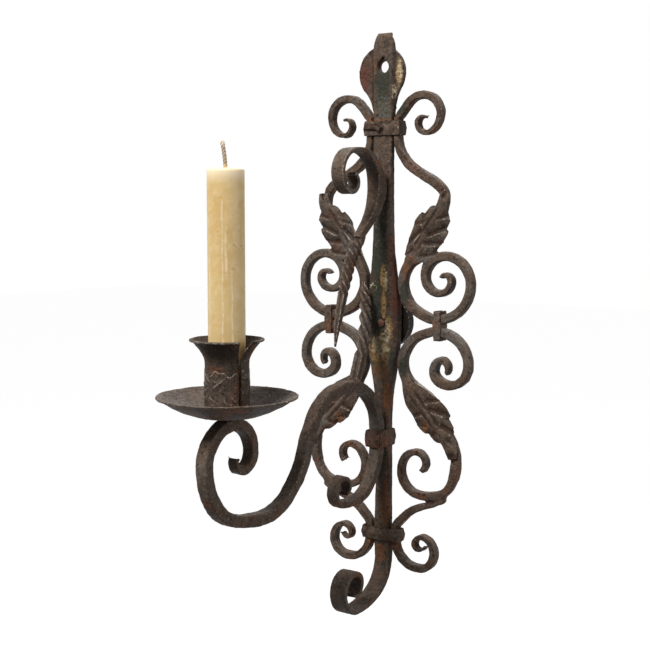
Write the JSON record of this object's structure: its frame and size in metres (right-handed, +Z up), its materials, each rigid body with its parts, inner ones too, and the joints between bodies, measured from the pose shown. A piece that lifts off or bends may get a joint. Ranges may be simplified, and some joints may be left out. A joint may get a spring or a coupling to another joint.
{
  "type": "torch sconce",
  "caption": "Forged iron wall sconce: scrolled back bar with leaves, twisted tendrils, a curved arm, a drip pan and a cup with a lift-out candle.",
  "frame": {"origin": "centre of the hanging hole in the eye of the back bar, at the middle of the bar's thickness", "axes": "+X to the right as seen from the room, +Y into the wall, +Z up; the arm and candle stand out towards -Y"},
  "size_m": [0.1736, 0.2687, 0.4779],
  "materials": {
    "forged_iron": "forged, dark brown-black with rust in the hollows and worn grey edges",
    "rusted_iron": "hammered strip, rust brown",
    "sheet_iron": "raised sheet, smoke-dark, smooth in the pan and rough on the cup",
    "black_iron": "old black paint, flat",
    "wax": "beeswax, satin, slightly translucent",
    "cotton": "plaited, unburnt"
  },
  "bodies": {
    "sconce": {"back_bar": "forged_iron", "wall_disc": "black_iron", "centre_rivet": "rusted_iron", "upper_sweep_right": "forged_iron", "upper_sweep_left": "forged_iron", "upper_leaf_scroll_right": "forged_iron", "upper_leaf_scroll_left": "forged_iron", "lower_leaf_scroll_right": "forged_iron", "lower_leaf_scroll_left": "forged_iron", "lower_sweep_right": "forged_iron", "lower_sweep_left": "forged_iron", "tail_scroll_right": "forged_iron", "tail_scroll_left": "forged_iron", "scroll_clip_right": "rusted_iron", "scroll_clip_left": "rusted_iron", "top_collar": "rusted_iron", "arm_collar": "rusted_iron", "bottom_collar": "rusted_iron", "arm": "forged_iron", "upper_tendril": "forged_iron", "lower_tendril": "forged_iron", "drip_pan": "sheet_iron", "candle_cup": "sheet_iron", "cup_rivet": "rusted_iron"},
    "candle": {"candle": "wax", "wick": "cotton"}
  },
  "joints": [
    {"name": "candle_lift", "type": "slide", "parent": "sconce", "child": "candle", "axis": [0, 0, 1], "range_m": [0, 0.06]}
  ]
}
